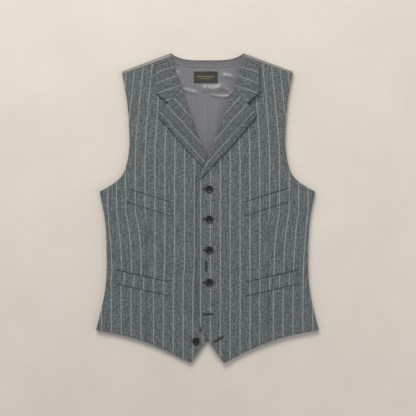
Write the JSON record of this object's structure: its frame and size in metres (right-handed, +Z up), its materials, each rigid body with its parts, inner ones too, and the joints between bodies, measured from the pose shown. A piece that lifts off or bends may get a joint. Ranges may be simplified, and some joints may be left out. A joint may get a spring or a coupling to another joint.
{
  "type": "notched-lapel waistcoat",
  "caption": "Buttoned waistcoat laid flat, with notched lapels, welt pockets, an upright buttonhole for a watch chain, satin back and a back strap with slide buckle.",
  "frame": {"origin": "on the table under the centre of the bounding box of the garment laid flat, face up", "axes": "+X towards the wearer's left side, +Y from the hem to the neck, +Z up from the table, out of the chest"},
  "size_m": [0.491, 0.683, 0.0163],
  "materials": {
    "wool": "brushed worsted wool with a chalk stripe",
    "satin": "satin lining",
    "canvas": "unbleached canvas",
    "label": "woven damask",
    "thread": "twisted silk",
    "button": "polished dark horn",
    "buckle": "antiqued nickel"
  },
  "bodies": {
    "garment": {"back_outer_left": "satin", "back_outer_right": "satin", "back_lining_left": "satin", "back_lining_right": "satin", "neck_facing": "satin", "neck_label": "label", "left_front": "wool", "left_front_canvas": "canvas", "left_front_lining": "satin", "right_front": "wool", "right_front_canvas": "canvas", "right_front_lining": "satin", "left_side_seam": "satin", "right_side_seam": "satin", "left_shoulder_yoke": "satin", "right_shoulder_yoke": "satin", "left_lapel_roll": "wool", "left_collar_roll": "wool", "right_lapel_roll": "wool", "right_collar_roll": "wool", "left_chest_welt": "wool", "right_chest_welt": "wool", "left_hip_welt": "wool", "right_hip_welt": "wool", "left_chest_pocket_bag": "satin", "right_chest_pocket_bag": "satin", "left_hip_pocket_bag": "satin", "right_hip_pocket_bag": "satin", "buttonhole_stitching": "thread", "chain_buttonhole_stitching": "thread", "button_shanks": "thread", "buckle_frame": "buckle", "strap_buckle_side": "satin", "strap_seam_cover": "satin"},
    "left_lapel": {"left_lapel_leaf": "wool", "left_collar_leaf": "wool"},
    "right_lapel": {"right_lapel_leaf": "wool", "right_collar_leaf": "wool"},
    "left_front_corner": {"left_corner": "wool", "left_corner_canvas": "canvas", "left_corner_lining": "satin", "corner_buttonhole_stitching": "thread"},
    "strap": {"strap_free_side": "satin"},
    "button_turn_1": {"button_1": "button", "button_thread_1": "thread"},
    "button_turn_2": {"button_2": "button", "button_thread_2": "thread"},
    "button_turn_3": {"button_3": "button", "button_thread_3": "thread"},
    "button_turn_4": {"button_4": "button", "button_thread_4": "thread"},
    "button_turn_5": {"button_5": "button", "button_thread_5": "thread"},
    "button_turn_6": {"button_6": "button", "button_thread_6": "thread"}
  },
  "joints": [
    {"name": "left_lapel_fold", "type": "hinge", "parent": "garment", "child": "left_lapel", "pos_m": [0.0165, 0.0995, 0.0155], "axis": [-0.4073, -0.9133, 0], "range_deg": [0, 150]},
    {"name": "right_lapel_fold", "type": "hinge", "parent": "garment", "child": "right_lapel", "pos_m": [-0.0165, 0.0995, 0.0129], "axis": [-0.4073, 0.9133, 0], "range_deg": [0, 150]},
    {"name": "corner_fold", "type": "hinge", "parent": "garment", "child": "left_front_corner", "pos_m": [-0.0185, -0.185, 0.013], "axis": [-0.7071, 0.7071, 0], "range_deg": [0, 150]},
    {"name": "button_1_turn", "type": "hinge", "parent": "garment", "child": "button_turn_1", "pos_m": [0.004, 0.042, 0.01355], "axis": [0, 0, 1], "range_deg": [-45, 45], "stiffness_Nm_per_rad": 0.0002},
    {"name": "button_2_turn", "type": "hinge", "parent": "garment", "child": "button_turn_2", "pos_m": [0.004, -0.024, 0.01355], "axis": [0, 0, 1], "range_deg": [-45, 45], "stiffness_Nm_per_rad": 0.0002},
    {"name": "button_3_turn", "type": "hinge", "parent": "garment", "child": "button_turn_3", "pos_m": [0.004, -0.092, 0.01355], "axis": [0, 0, 1], "range_deg": [-45, 45], "stiffness_Nm_per_rad": 0.0002},
    {"name": "button_4_turn", "type": "hinge", "parent": "garment", "child": "button_turn_4", "pos_m": [0.004, -0.163, 0.01355], "axis": [0, 0, 1], "range_deg": [-45, 45], "stiffness_Nm_per_rad": 0.0002},
    {"name": "button_5_turn", "type": "hinge", "parent": "garment", "child": "button_turn_5", "pos_m": [0.004, -0.233, 0.0107], "axis": [0, 0, 1], "range_deg": [-45, 45], "stiffness_Nm_per_rad": 0.0002},
    {"name": "button_6_turn", "type": "hinge", "parent": "garment", "child": "button_turn_6", "pos_m": [-0.025, -0.2925, 0.0107], "axis": [0, 0, 1], "range_deg": [-45, 45], "stiffness_Nm_per_rad": 0.0002},
    {"name": "strap_slide", "type": "slide", "parent": "garment", "child": "strap", "axis": [1, 0, 0], "range_m": [0, 0.02]}
  ]
}
